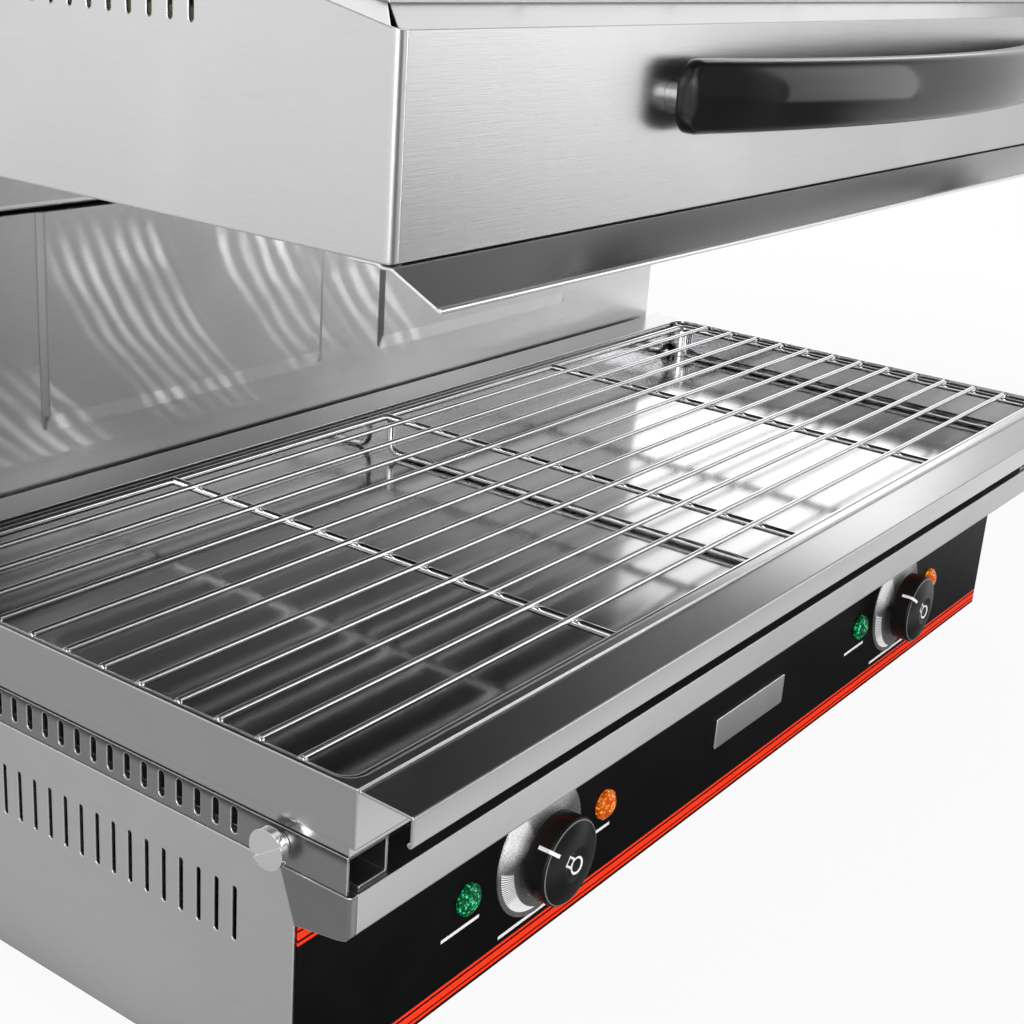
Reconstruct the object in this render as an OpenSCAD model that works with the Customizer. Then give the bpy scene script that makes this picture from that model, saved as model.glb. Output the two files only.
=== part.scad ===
// Rise-and-fall salamander grill with two heating zones.
// Millimetres, Z up, front faces -Y, X to the right, bench at Z 0.

/* [Overall] */
// Width over head, pan and base
body_w = 800; // [780:5:820]
// Depth from the handle's front to the column's back
body_d = 515; // [505:1:530]
// Height of the column above the bench
body_h = 540.3; // [530:0.1:560]
// Sheet thickness
sheet = 1.2; // [0.8:0.1:1.5]
// Height of the feet
foot_h = 20; // [15:1:25]

/* [Base] */
// Top of the base above the bench
base_top = 145.5; // [140:0.5:150]
// Set-back of the control panel behind the rail
panel_set_back = 29.5; // [20:0.5:35]
// Depth of the rail's front face
rail_h = 18.7; // [15:0.1:25]
// Number of vents in each base side
base_vents = 21; // [10:1:24]
// Spacing of the base vents
base_vent_pitch = 11; // [9:0.1:12]

/* [Controls] */
// Half spacing of the two zones' dials
zone_x = 222; // [200:1:240]
// Sideways shift of the whole row of controls
row_shift = 3.2; // [0:0.1:6]
// Height of the row of controls
row_z = 73.4; // [65:0.1:80]
// Spacing of a lamp from its dial
lamp_gap = 60.5; // [50:0.5:70]
// Dial plate radius
dial_r = 36.5; // [30:0.5:38]
// Knob radius
knob_r = 24; // [20:0.5:28]
// Lamp lens radius
lamp_r = 8.5; // [6:0.5:10]

/* [Pan and rack] */
// Height of the rack's thin wires above the bench
wire_z = 195.3; // [190:0.1:200]
// Depth of the pan from front skirt to rear skirt
pan_d = 354; // [340:1:356]
// Radius of the rack's frame rod
rod_r = 2.5; // [2:0.1:3]
// Radius of the rack's thin wires
wire_r = 1.6; // [1.2:0.1:2]
// Number of thin wires
wires = 12; // [10:1:14]
// Spacing of the thin wires
wire_pitch = 24.15; // [20:0.05:26]
// Reach of the front shelf
shelf_reach = 27.3; // [20:0.1:30]

/* [Head] */
// Underside of the head at rest
head_bottom = 403.8; // [400:0.1:410]
// Height of the head's front face
head_face_h = 78; // [70:1:90]
// Depth of the head
head_d = 349.7; // [340:0.1:352]
// Depth of the sloped part of the roof
slope_d = 159.7; // [140:0.1:180]
// Rise of the roof over the sloped part
slope_rise = 34.5; // [20:0.5:36]
// Visible width of the roof's border
border_w = 28; // [20:1:34]
// Number of vents in each head side
head_vents = 15; // [8:1:18]
// Width of the handle
handle_w = 454; // [400:1:470]
// Height of the handle
handle_h = 30.5; // [26:0.5:34]
// Stand-off of the handle's outer face
handle_out = 47; // [40:1:47]

/* [Column] */
// Width of the column
column_w = 778; // [760:2:790]
// Height of the seam between the column's two front panels
seam_z = 351.8; // [340:0.1:360]
// Width of each pressed field
field_w = 232; // [200:1:240]
// Radius of the guide rods
guide_r = 8; // [7:0.5:9]

/* [Part to draw] */
// Sub-part

/* [Hidden] */
$fn = 48;
eps = 0.02;
half_w = body_w / 2;
back_y = body_d / 2;
pan_y = -205.8;
rail_y = pan_y + 1.5;
panel_y = rail_y + panel_set_back;
fascia_t = 0.6;
side_in = half_w - sheet;
flange = 12;

// base
nose_low = base_top - rail_h;
throat_z = nose_low - 7;
nose_d = 6.1;
rail_top_d = 19.5;
base_vent_y = pan_y + 66.2;
base_vent_z = [96.4, 123.6];
base_vent_w = 2.8;
side_top_w = 26;

// channels and thumb screws
channel_x = half_w - 0.5;
channel_w = 25;
channel_z = [base_top + 0.2, 163.4];
channel_y = [pan_y + 4, pan_y + 350];
channel_slot_z = [148.9, 161.8];
channel_slot_pitch = 11.1;
screw_y = pan_y + 41;
screw_z = 155.6;
thread_r = 3;
neck_r = 6;
screw_head_r = 9.25;
screw_turn = 55.5;

// pan
rim_z = wire_z + 1.3;
skirt_z = wire_z - 26.4;
pan_under = channel_z[1] + 0.1;
floor_z = pan_under + 1.5;
basin_x = half_w - 2.5;
basin_y = [pan_y + 5, pan_y + 328];
basin_r = 10;
lip_h = 14;
shelf_bend = 0.7;
shelf_fall = 1;
lip_hem_r = 1.3;

// rack
frame_x = half_w - 6.3;
frame_y = [pan_y + 10, pan_y + 323];
frame_z = wire_z - wire_r - rod_r + 0.2;
corner_r = 9;
leg_y = [pan_y + 15, pan_y + 318];
leg_bend = 8;
leg_z = floor_z + rod_r + 0.1;
bars = [-197, -3, 195];

// column
column_x = column_w / 2;
column_y = pan_y + 357.4;
field_x = 144.5;
field_shift = -3.5;
field_low = wire_z + 32;
field_out = 2;
field_step = 4.5;
field_low_step = 9;
field_corner = 6;
upper_low = seam_z + 2;
hem_r = 1.5;
arm_x = 200;
arm_w = 12;
arm_z = [472.3, 502.3];
arm_slot_w = 20;
arm_slot_z = [368.3, 526.3];
rod_x = 330;
rod_y = pan_y + 395;
bush_r = 14;
bush_z = [455, 505];
foot_block = [146.5, 158];
head_block = [528, 536];
spring_low = foot_block[1] + 0.4;
spring_r = 11.5;
spring_wire = 1.6;
spring_turns = 24;

// head
head_y = pan_y - 4.7;
head_back = head_y + head_d;
eave_z = head_bottom + head_face_h;
roof_y = head_y + slope_d;
roof_z = eave_z + slope_rise;
wrap = 4.5;
border_lap = 8;
bend_r = 3;
visor_drop = 13.2;
visor_gap = 0.9;
visor_back = 14.6;
visor_hem_r = 1.1;
head_vent_y = pan_y + 92.6;
head_vent_z = [475.6, 495.3];
head_vent_pitch = 11.1;
handle_z = 453.3;
handle_t = 20;
handle_corner = 12;
handle_round = 7;
handle_end = 8;
handle_crown = 40;
boss_t = 6;
boss_r = 7.5;
boss_x = handle_w / 2 - boss_r;
tube_r = 4;
tube_z = 425;
tube_x = [50, 110, 170, 230, 290, 350];
tube_front = head_y + 70;
tube_back = head_back - 60;
tube_bend = 30;
hanger_y = [head_y + 95, head_back - 95];
reflector_z = 450;
reflector_w = 752;
cover_screw_pitch = 115.2;
cover_z = [412, 438];
cover_d = 8.5;

// knobs
knob_face = pan_y + 10.6;
knob_back = pan_y + 23;
knob_round = 2;
knob_dome = 3.8;
dish_r = 9.7;
dish_deep = 1.4;
pointer_turn = -52.5;
pointer_in = 17.3;
pointer_back = 8;
pointer_w = 2;
pointer_proud = 0.2;
pointer_deep = 0.8;
pointer_slope = 0.31;
spindle_r = 3;
fit_gap = 0.05;
dial_t = 0.8;
spindle_hole_r = 5.3;
badge = [[-37.5, 58.4], [49.5, 78.4]];
badge_t = 1.4;
thermostat = [44, 26, 40];
terminal = [[-300, 190], [-240, 212]];
gland = [-320, 210];
gland_r = 10;
cable_r = 5;

steel = [0.78, 0.78, 0.79];
dark_steel = [0.55, 0.55, 0.56];
polished = [0.88, 0.88, 0.9];
black = [0.03, 0.03, 0.03];
white = [0.92, 0.92, 0.92];
silver = [0.82, 0.82, 0.83];
green = [0.05, 0.6, 0.25];
amber = [1, 0.5, 0.08];
zinc = [0.6, 0.62, 0.65];
wool = [0.85, 0.82, 0.7];

// Profile in Y and Z, drawn from x0 to x1.
module along_x(x0, x1) {
  translate([x0, 0, 0])
    rotate([90, 0, 90])
      linear_extrude(x1 - x0)
        children();
}

// Profile in X and Z, drawn from y0 to y1.
module along_y(y0, y1) {
  translate([0, y1, 0])
    rotate([90, 0, 0])
      linear_extrude(y1 - y0)
        children();
}

// Profile in X and Y, drawn from z0 to z1.
module along_z(z0, z1) {
  translate([0, 0, z0])
    linear_extrude(z1 - z0)
      children();
}

module box(low, high) {
  translate(low)
    cube(high - low);
}

module rounded(low, high, r) {
  translate([low[0] + r, low[1]])
    square([high[0] - low[0] - 2 * r, high[1] - low[1]]);
  translate([low[0], low[1] + r])
    square([high[0] - low[0], high[1] - low[1] - 2 * r]);
  for (x = [low[0] + r, high[0] - r], y = [low[1] + r, high[1] - r])
    translate([x, y])
      circle(r);
}

module rod_along_x(x0, x1, y, z, r) {
  translate([x0, y, z])
    rotate([0, 90, 0])
      cylinder(h = x1 - x0, r = r);
}

module rod_along_y(y0, y1, x, z, r) {
  translate([x, y1, z])
    rotate([90, 0, 0])
      cylinder(h = y1 - y0, r = r);
}

module rod_along_z(z0, z1, x, y, r) {
  translate([x, y, z0])
    cylinder(h = z1 - z0, r = r);
}

// Quarter bend of a round rod about +Z, from angle a.
module rod_bend(bend, r, a) {
  rotate([0, 0, a])
    rotate_extrude(angle = 90)
      translate([bend, 0])
        circle(r);
}

module both_sides() {
  children();
  mirror([1, 0, 0])
    children();
}

// Upright obround holes through a side wall on the right.
module side_slots(count, pitch, first, zs, w, x0, x1) {
  for (i = [0:count - 1])
    along_x(x0, x1)
      translate([first + i * pitch, 0])
        slot_shape(zs, w);
}

module slot_shape(zs, w) {
  translate([-w / 2, zs[0] + w / 2])
    square([w, zs[1] - zs[0] - w]);
  for (z = [zs[0] + w / 2, zs[1] - w / 2])
    translate([0, z])
      circle(w / 2);
}

// Plan of a side sheet on the right: front wrap, side and rear return.
module wrapped_plan(front, back, r, front_return, rear_return) {
  translate([side_in, front + r])
    square([sheet, back - front - r]);
  translate([half_w - front_return, front])
    square([front_return - r, sheet]);
  translate([half_w - rear_return, back - sheet])
    square([rear_return, sheet]);
  intersection() {
    translate([half_w - r, front + r])
      difference() {
        circle(r);
        circle(r - sheet);
      }
    translate([half_w - r, front])
      square([r, r]);
  }
}

// ---- base ----

module base_outline(inset) {
  polygon([
    [rail_y + inset, base_top - inset],
    [rail_y + inset, nose_low],
    [rail_y + 1.6 + inset, nose_low - 1.8],
    [rail_y + nose_d, nose_low - 3.2 + inset],
    [panel_y + 0.7 + inset, throat_z + inset],
    [panel_y + 0.7 + inset, foot_h + inset],
    [back_y - inset, foot_h + inset],
    [back_y - inset, base_top - inset]
  ]);
}

module side_panel() {
  difference() {
    union() {
      intersection() {
        along_z(foot_h, base_top)
          wrapped_plan(rail_y, back_y, 2.4, wrap, flange);
        along_x(half_w - flange, half_w)
          base_outline(0);
      }
      box([half_w - side_top_w, rail_y + rail_top_d + 0.5, base_top - sheet],
        [side_in, back_y - sheet, base_top]);
      box([half_w - 4, panel_y + 0.7, foot_h], [side_in, panel_y + 0.7 + sheet, throat_z]);
    }
    side_slots(base_vents, base_vent_pitch, base_vent_y, base_vent_z, base_vent_w,
      side_in - 1, half_w + 1);
  }
}

module left_side_panel() {
  color(steel)
    mirror([1, 0, 0])
      side_panel();
}

module right_side_panel() {
  color(steel)
    side_panel();
}

module front_rail() {
  end_x = half_w - wrap - 0.3;
  color(steel)
    along_x(-end_x, end_x)
      polygon([
        [rail_y, base_top],
        [rail_y, nose_low],
        [rail_y + 1.6, nose_low - 1.8],
        [rail_y + nose_d, nose_low - 3.2],
        [panel_y + 0.4, throat_z + 0.1],
        [panel_y + 0.4, throat_z + 0.1 + sheet],
        [rail_y + nose_d, nose_low - 3.2 + sheet],
        [rail_y + sheet, nose_low],
        [rail_y + sheet, base_top - sheet],
        [rail_y + rail_top_d, base_top - sheet],
        [rail_y + rail_top_d, base_top]
      ]);
}

module row_holes(y0, y1, dial_hole, lamp_hole) {
  for (s = [-1, 1]) {
    rod_along_y(y0, y1, s * zone_x + row_shift, row_z, dial_hole);
    for (t = [-1, 1])
      rod_along_y(y0, y1, s * zone_x + row_shift + t * lamp_gap, row_z, lamp_hole);
  }
}

module control_panel() {
  w = half_w - 4.2;
  color(dark_steel)
    difference() {
      union() {
        box([-w, panel_y + 0.1, foot_h + 0.2], [w, panel_y + 0.1 + sheet, throat_z - 0.2]);
        box([-w, panel_y + sheet, foot_h + sheet + 0.2],
          [w, panel_y + flange, foot_h + 2 * sheet + 0.2]);
      }
      row_holes(panel_y - 1, panel_y + 3, spindle_hole_r, lamp_r - 1.5);
    }
}

module fascia() {
  w = half_w - 1.5;
  color(black)
    difference() {
      box([-w, panel_y - fascia_t, foot_h + 0.2], [w, panel_y, throat_z - 0.2]);
      row_holes(panel_y - 1, panel_y + 1, spindle_hole_r, lamp_r - 1.5);
    }
}

module badge_plate() {
  y = panel_y - fascia_t;
  color(silver)
    along_y(y - badge_t, y)
      rounded(badge[0], badge[1], 1.2);
}

module dial_plates() {
  y = panel_y - fascia_t;
  color(silver)
    for (s = [-1, 1])
      difference() {
        rod_along_y(y - dial_t, y, s * zone_x + row_shift, row_z, dial_r);
        rod_along_y(y - dial_t - 1, y + 1, s * zone_x + row_shift, row_z, spindle_hole_r);
      }
}

module thermostats() {
  y = panel_y + 0.1 + sheet;
  w = thermostat[0] / 2;
  h = thermostat[2] / 2;
  back = y + thermostat[1];
  color(zinc)
    for (s = [-1, 1])
      translate([s * zone_x + row_shift, 0, row_z])
        difference() {
          union() {
            box([-w, y, -h], [w, back, h]);
            rod_along_y(y - 1.9, y + 1, 0, 0, spindle_hole_r - 0.2);
            rod_along_y(back - 1, back + 5, 12, 8, 5);
            for (x = [-14, -4, 6])
              box([x, back, -14], [x + 0.8, back + 9, -8]);
          }
          rod_along_y(y - 3, y + 20, 0, 0, spindle_r + fit_gap);
        }
}

module lamps(side) {
  y = panel_y - fascia_t;
  for (s = [-1, 1])
    translate([s * zone_x + row_shift + side * lamp_gap, 0, row_z]) {
      rod_along_y(y - 2, y, 0, 0, lamp_r);
      rod_along_y(y - eps, y + 26, 0, 0, lamp_r - 1.8);
      translate([0, y - 2, 0])
        rotate([90, 0, 0])
          rotate_extrude()
            intersection() {
              translate([0, -7.4])
                circle(11.2);
              square([lamp_r - 0.7, 5]);
            }
      for (x = [-3, 3])
        box([x - 0.4, y + 25, -2.4], [x + 0.4, y + 33, 2.4]);
    }
}

module green_lamps() {
  color(green)
    lamps(-1);
}

module amber_lamps() {
  color(amber)
    lamps(1);
}

module bottom_plate() {
  w = half_w - sheet - 0.1;
  color(dark_steel)
    difference() {
      box([-w, panel_y + 14, foot_h], [w, back_y - sheet - 0.1, foot_h + sheet]);
      rod_along_z(foot_h - 1, foot_h + 2, gland[0], gland[1], gland_r + 0.1);
      for (i = [-7:7])
        along_z(foot_h - 1, foot_h + 2)
          translate([i * 22, 0])
            slot_shape([0, 60], 4);
    }
}

module base_top_cover() {
  color(dark_steel)
    box([-side_in + 0.1, rail_y + sheet + 0.1, base_top - 2 * sheet - 0.1],
      [side_in - 0.1, back_y - sheet - 0.1, base_top - sheet - 0.1]);
}

module base_rear_panel() {
  w = half_w - flange - 0.2;
  color(dark_steel)
    difference() {
      box([-w, back_y - sheet, foot_h + 0.1], [w, back_y, base_top - 0.1]);
      for (i = [-8:8])
        along_y(back_y - 2, back_y + 1)
          translate([i * 26, 0])
            slot_shape([60, 105], 4);
    }
}

module feet() {
  color(black)
    for (x = [-355, 355], y = [-140, 225])
      translate([x, y, 0])
        rotate_extrude()
          difference() {
            union() {
              square([17, 6]);
              square([14, foot_h]);
            }
            square([5, 4]);
          }
}

module terminal_block() {
  z = foot_h + sheet;
  low = terminal[0];
  high = terminal[1];
  color(white)
    difference() {
      union() {
        box([low[0], low[1], z], [high[0], high[1], z + 14]);
        box([low[0], low[1] + 6, z], [high[0], high[1] - 6, z + 22]);
      }
      for (i = [0:4])
        rod_along_z(z + 6, z + 30, low[0] + 8 + i * 11, (low[1] + high[1]) / 2, 2.6);
    }
}

module cable_gland() {
  color(black)
    translate([gland[0], gland[1], 0])
      difference() {
        union() {
          rod_along_z(foot_h - 4, foot_h, 0, 0, 14);
          rod_along_z(4, foot_h, 0, 0, 11);
          rod_along_z(foot_h - 1, foot_h + 8, 0, 0, gland_r);
        }
        rod_along_z(0, foot_h + 10, 0, 0, cable_r);
      }
}

// Spacer channel on the right, open at the bottom towards the outside.
module channel() {
  x1 = channel_x;
  x0 = channel_x - channel_w;
  z0 = channel_z[0];
  z1 = channel_z[1];
  difference() {
    box([x0, channel_y[0], z0], [x1, channel_y[1], z1]);
    box([x0 + sheet, channel_y[0] - 1, z0 + sheet], [x1 - sheet, channel_y[1] + 1, z1 - sheet]);
    box([x1 - 7.5, channel_y[0] - 1, z0 - 1], [x1 - sheet, channel_y[1] + 1, z0 + 2]);
    side_slots(base_vents, channel_slot_pitch, pan_y + 67.3, channel_slot_z, 4,
      x1 - 2, x1 + 1);
    rod_along_x(x1 - 2, x1 + 1, screw_y, screw_z, thread_r + 0.4);
  }
}

module left_channel() {
  color(steel)
    mirror([1, 0, 0])
      channel();
}

module right_channel() {
  color(steel)
    channel();
}

module screw_tabs() {
  color(dark_steel)
    both_sides()
      difference() {
        box([half_w - 6, screw_y - 8, base_top], [half_w - 3, screw_y + 8, channel_z[1] - 1.6]);
        rod_along_x(half_w - 10, half_w, screw_y, screw_z, thread_r + fit_gap);
      }
}

// Thumb screw on the right.
module thumb_screw() {
  difference() {
    union() {
      rod_along_x(half_w + 4, half_w + 8, screw_y, screw_z, screw_head_r);
      rod_along_x(half_w - 0.3, half_w + 4, screw_y, screw_z, neck_r);
      rod_along_x(half_w - 8, half_w, screw_y, screw_z, thread_r);
    }
    translate([half_w + 6.8, screw_y, screw_z])
      rotate([screw_turn, 0, 0])
        box([0, -0.9, -10], [2, 0.9, 10]);
  }
}

module left_thumb_screw() {
  color(polished)
    mirror([1, 0, 0])
      thumb_screw();
}

module right_thumb_screw() {
  color(polished)
    thumb_screw();
}

// ---- knobs ----

module knob(side) {
  color(black)
    difference() {
      translate([side * zone_x + row_shift, knob_back, row_z])
        rotate([90, 0, 0])
          rotate_extrude()
            knob_section();
      pointer_place(side)
        difference() {
          pointer_corner(pointer_proud + 1);
          pointer_corner(-pointer_deep, 1);
        }
    }
}

module knob_section() {
  h = knob_back - knob_face;
  flat_r = knob_r - knob_round;
  dome = (pow(flat_r, 2) + pow(knob_dome, 2)) / (2 * knob_dome);
  dish = (pow(dish_r, 2) + pow(dish_deep, 2)) / (2 * dish_deep);
  dish_rim = h + knob_dome - dome + sqrt(pow(dome, 2) - pow(dish_r, 2));
  difference() {
    union() {
      square([knob_r, h - knob_round]);
      square([flat_r, h]);
      translate([flat_r, h - knob_round])
        circle(knob_round);
      intersection() {
        translate([0, h + knob_dome - dome])
          circle(dome, $fn = 240);
        translate([0, h - 1])
          square([flat_r, knob_dome + 1]);
      }
      translate([0, -4.5])
        square([9.5, 8]);
    }
    translate([0, -5])
      square([spindle_r, 10]);
    translate([0, dish_rim - dish_deep + dish])
      circle(dish, $fn = 240);
    translate([-knob_r, -5])
      square([knob_r, 30]);
  }
}

module spindle(side) {
  color(zinc)
    rod_along_y(knob_back - 5, panel_y + 20, side * zone_x + row_shift, row_z, spindle_r);
}

module pointer(side) {
  color(white)
    pointer_place(side)
      difference() {
        pointer_corner(pointer_proud);
        pointer_corner(-pointer_deep, 1);
      }
}

// Local X points out along the knob's radius and local Y out of its face.
module pointer_place(side) {
  translate([side * zone_x + row_shift, knob_back, row_z])
    rotate([0, pointer_turn - 90, 0])
      rotate([180, 0, 0])
        translate([0, 0, -pointer_w / 2])
          linear_extrude(pointer_w)
            children();
}

// Section of the knob's edge, grown by the given step.
module pointer_corner(step, past = 0) {
  h = knob_back - knob_face;
  in = pointer_in - past;
  low = h - pointer_back - past;
  flat_r = knob_r - knob_round;
  rise = pointer_slope * (flat_r - in);
  translate([in, low])
    square([knob_r + step - in, h - knob_round - low]);
  polygon([[in, low], [flat_r, low], [flat_r, h + step], [in, h + step + rise]]);
  translate([flat_r, h - knob_round])
    circle(knob_round + step);
}

module left_knob() {
  knob(-1);
}

module right_knob() {
  knob(1);
}

module left_spindle() {
  spindle(-1);
}

module right_spindle() {
  spindle(1);
}

module left_pointer() {
  pointer(-1);
}

module right_pointer() {
  pointer(1);
}

// ---- pan and rack ----

module pan() {
  color(polished)
    difference() {
      union() {
        box([-half_w, pan_y, skirt_z], [half_w, pan_y + pan_d, rim_z]);
        box([-half_w + 1.3, pan_y + 3.8, pan_under], [half_w - 1.3, basin_y[1] + sheet, rim_z]);
        pan_shelf();
      }
      along_z(floor_z, rim_z + 1)
        rounded([-basin_x, basin_y[0]], [basin_x, basin_y[1]], basin_r);
      box([-half_w + 5, pan_y + sheet, skirt_z - 1], [half_w - 5, pan_y + 3.8, rim_z - sheet]);
      box([-side_in, basin_y[1] + sheet, skirt_z - 1],
        [side_in, pan_y + pan_d - sheet, rim_z - sheet]);
    }
}

module pan_shelf() {
  w = half_w - 1.5;
  y1 = pan_y - shelf_reach;
  top = wire_z - shelf_fall;
  along_x(-w, w)
    union() {
      polygon([
        [pan_y + 0.2, wire_z - sheet],
        [pan_y + 0.2, wire_z],
        [y1 + shelf_bend, top],
        [y1, top - shelf_bend],
        [y1, wire_z - lip_h - 0.2],
        [y1 + sheet, wire_z - lip_h - 0.2],
        [y1 + sheet, top - sheet]
      ]);
      translate([y1 + lip_hem_r, wire_z - lip_h])
        circle(lip_hem_r);
    }
}

module rack_frame() {
  x = frame_x - corner_r;
  y0 = frame_y[0] + corner_r;
  y1 = frame_y[1] - corner_r;
  color(polished) {
    for (y = frame_y)
      rod_along_x(-x, x, y, frame_z, rod_r);
    for (s = [-1, 1])
      rod_along_y(y0, y1, s * frame_x, frame_z, rod_r);
    translate([x, y1, frame_z])
      rod_bend(corner_r, rod_r, 0);
    translate([-x, y1, frame_z])
      rod_bend(corner_r, rod_r, 90);
    translate([-x, y0, frame_z])
      rod_bend(corner_r, rod_r, 180);
    translate([x, y0, frame_z])
      rod_bend(corner_r, rod_r, 270);
    for (b = bars)
      rod_along_y(frame_y[0], frame_y[1], b, frame_z, rod_r);
  }
}

module rack_wires() {
  color(polished)
    for (j = [1:wires])
      rod_along_x(-frame_x - 1.2, frame_x + 1.2, frame_y[0] + j * wire_pitch, wire_z, wire_r);
}

module rack_legs() {
  color(polished)
    for (x = [-frame_x, bars[1], frame_x]) {
      rod_along_y(leg_y[0] + leg_bend, leg_y[1] - leg_bend, x, leg_z, rod_r);
      for (y = leg_y)
        rod_along_z(leg_z + leg_bend, frame_z - rod_r, x, y, rod_r);
      translate([x, leg_y[0] + leg_bend, leg_z + leg_bend])
        rotate([90, 0, 90])
          rod_bend(leg_bend, rod_r, 180);
      translate([x, leg_y[1] - leg_bend, leg_z + leg_bend])
        rotate([90, 0, 90])
          rod_bend(leg_bend, rod_r, 270);
    }
}

// ---- column ----

module cheek() {
  x0 = column_x - sheet;
  z1 = body_h - sheet - 0.1;
  difference() {
    union() {
      box([x0, column_y + sheet, base_top], [column_x, back_y - sheet, z1]);
      box([column_x - flange, column_y + sheet + 0.1, base_top],
        [column_x, column_y + 2 * sheet + 0.1, z1]);
    }
    rod_along_x(column_x - flange - 1, column_x + 1, column_y + hem_r, upper_low + hem_r,
      hem_r + 0.1);
  }
  box([column_x - flange, back_y - 2 * sheet - 0.1, base_top],
    [column_x, back_y - sheet - 0.1, z1]);
}

module left_cheek() {
  color(steel)
    mirror([1, 0, 0])
      cheek();
}

module right_cheek() {
  color(steel)
    cheek();
}

// Raised field with sloped steps on both sides and at its lower edge.
module pressed_field(x) {
  w = field_w / 2;
  y0 = column_y - field_out;
  intersection() {
    along_z(field_low, seam_z)
      polygon([
        [x - w, column_y + 0.1],
        [x - w + field_step, y0],
        [x + w - field_step, y0],
        [x + w, column_y + 0.1]
      ]);
    along_x(x - w, x + w)
      polygon([
        [column_y + 0.1, field_low],
        [y0, field_low + field_low_step],
        [y0, seam_z],
        [column_y + 0.1, seam_z]
      ]);
    along_y(y0 - 1, column_y + 1)
      rounded([x - w, field_low], [x + w, seam_z + 20], field_corner);
  }
}

module lower_column_panel() {
  color(steel) {
    box([-column_x, column_y, base_top + 0.1], [column_x, column_y + sheet, seam_z]);
    for (s = [-1, 1])
      pressed_field(s * field_x + field_shift);
  }
}

module upper_column_panel() {
  z1 = body_h - sheet - 0.1;
  color(steel)
    difference() {
      union() {
        box([-column_x, column_y, upper_low + hem_r], [column_x, column_y + sheet, z1]);
        rod_along_x(-column_x, column_x, column_y + hem_r, upper_low + hem_r, hem_r);
      }
      for (s = [-1, 1])
        along_y(column_y - 1, column_y + 4)
          translate([s * arm_x, 0])
            slot_shape(arm_slot_z, arm_slot_w);
    }
}

module column_back_cover() {
  color(dark_steel)
    difference() {
      box([-column_x, back_y - sheet, base_top + 0.1], [column_x, back_y, body_h - sheet - 0.1]);
      for (i = [-10:10])
        along_y(back_y - 2, back_y + 1)
          translate([i * 26, 0])
            slot_shape([440, 490], 4);
    }
}

module column_cap() {
  color(steel)
    difference() {
      box([-column_x, column_y, body_h - sheet], [column_x, back_y, body_h]);
      for (i = [-12:12])
        along_z(body_h - 2, body_h + 1)
          translate([i * 26, 0])
            slot_shape([column_y + 34, column_y + 74], 4);
    }
}

module guide_rods() {
  color(polished)
    for (s = [-1, 1])
      rod_along_z(foot_block[0] + 0.5, head_block[1], s * rod_x, rod_y, guide_r);
}

module rod_blocks() {
  color(zinc)
    both_sides()
      for (z = [foot_block, head_block])
        difference() {
          box([rod_x - 16, rod_y - 15, z[0]], [column_x - sheet - 0.1, rod_y + 15, z[1]]);
          rod_along_z(z[0] - 1, z[1] + 1, rod_x, rod_y, guide_r + fit_gap);
        }
}

// Compression spring under the carriage, round a guide rod.
module spring(side) {
  gap = (bush_z[0] - 0.4 - spring_low - 2 * spring_wire) / spring_turns;
  color(zinc)
    translate([side * rod_x, rod_y, spring_low + spring_wire])
      rotate_extrude()
        union() {
          for (i = [0:spring_turns])
            translate([spring_r, i * gap])
              circle(spring_wire);
          translate([spring_r - 0.4, 0])
            square([0.8, spring_turns * gap]);
        }
}

module left_spring() {
  spring(-1);
}

module right_spring() {
  spring(1);
}

// ---- head ----

module head_outline() {
  polygon([
    [head_y, head_bottom],
    [head_y, eave_z],
    [roof_y, roof_z],
    [head_back, roof_z],
    [head_back, head_bottom]
  ]);
}

// Sheet that follows the roof, drop below its outer surface.
module roof_band(drop) {
  polygon([
    [head_y, eave_z - drop - sheet],
    [head_y, eave_z - drop],
    [roof_y, roof_z - drop],
    [head_back, roof_z - drop],
    [head_back, roof_z - drop - sheet],
    [roof_y, roof_z - drop - sheet]
  ]);
}

module head_side() {
  under = border_w + border_lap;
  difference() {
    intersection() {
      along_z(head_bottom, roof_z)
        wrapped_plan(head_y, head_back, bend_r, wrap, flange);
      along_x(half_w - flange - 1, half_w)
        head_outline();
    }
    side_slots(head_vents, head_vent_pitch, head_vent_y, head_vent_z, 3,
      side_in - 1, half_w + 1);
  }
  box([half_w - flange, head_y + 4, head_bottom], [half_w - 0.6, head_back, head_bottom + sheet]);
  intersection() {
    along_x(half_w - under, half_w)
      roof_band(0);
    along_z(head_bottom, roof_z + 1)
      polygon([
        [half_w, head_y + 3.4],
        [half_w - under, head_y + under + 0.2],
        [half_w - under, head_back - under - 0.2],
        [half_w, head_back - 0.2]
      ]);
  }
}

module head_left_side() {
  color(steel)
    mirror([1, 0, 0])
      head_side();
}

module head_right_side() {
  color(steel)
    head_side();
}

module head_front_panel() {
  w = half_w - wrap - 0.3;
  under = border_w + border_lap;
  notch_y = head_y + sheet + 0.1;
  color(steel) {
    box([-w, head_y, head_bottom], [w, head_y + sheet, eave_z]);
    box([-w + flange, head_y, head_bottom], [w - flange, head_y + flange, head_bottom + sheet]);
    intersection() {
      along_x(-half_w, half_w)
        roof_band(0);
      along_z(eave_z - 5, roof_z)
        polygon([
          [-w, head_y],
          [w, head_y],
          [w, notch_y],
          [w + 1.6, notch_y],
          [w + 1.6, head_y + 2.8],
          [half_w - under, head_y + under - 0.2],
          [-half_w + under, head_y + under - 0.2],
          [-w - 1.6, head_y + 2.8],
          [-w - 1.6, notch_y],
          [-w, notch_y]
        ]);
    }
  }
}

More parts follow.
